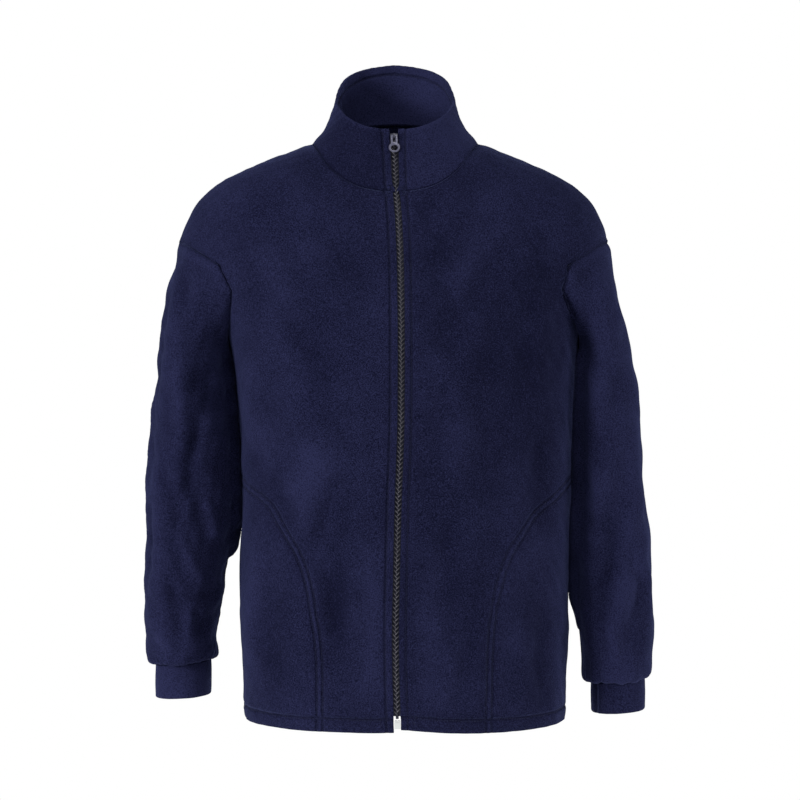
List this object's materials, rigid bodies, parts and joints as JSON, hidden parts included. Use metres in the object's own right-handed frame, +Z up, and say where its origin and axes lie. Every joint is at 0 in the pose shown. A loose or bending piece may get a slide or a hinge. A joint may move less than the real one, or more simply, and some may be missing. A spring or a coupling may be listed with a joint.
{
  "type": "fleece zip jacket",
  "caption": "Long-sleeved fleece jacket with a stand collar, full-length front zip, dropped shoulders, side pockets and narrow cuffs, filled out as if worn.",
  "frame": {"origin": "inside the base of the neck, level with the neck ends of the shoulder seams, midway between them", "axes": "+Z up, towards the collar's rim; +Y from the zip to the back; +X to the right of the picture, the wearer's left"},
  "size_m": [0.6295, 0.2919, 0.8254],
  "materials": {
    "fleece": "soft brushed fleece, navy",
    "pocket_cloth": "smooth thin knit, navy",
    "zip_tape": "woven tape, dark navy",
    "zip_teeth": "satin, charcoal grey",
    "zip_pull": "satin, grey-violet",
    "zip_box": "white"
  },
  "bodies": {
    "jacket": {"front_left": "fleece", "front_right": "fleece", "back": "fleece", "sleeve_left": "fleece", "sleeve_right": "fleece", "cuff_left": "fleece", "cuff_right": "fleece", "collar": "fleece", "pocket_bag_left": "pocket_cloth", "pocket_bag_right": "pocket_cloth", "zip_tape_left": "zip_tape", "zip_tape_right": "zip_tape", "zip_chain": "zip_teeth", "zip_slider": "zip_pull", "zip_box": "zip_box"},
    "pull": {"zip_pull": "zip_pull"}
  },
  "joints": [
    {"name": "zip_pull_swing", "type": "hinge", "parent": "jacket", "child": "pull", "pos_m": [-0.00102, -0.08647, 0.00332], "axis": [-0.9993, -0.0092, -0.036], "range_deg": [0, 150]}
  ]
}
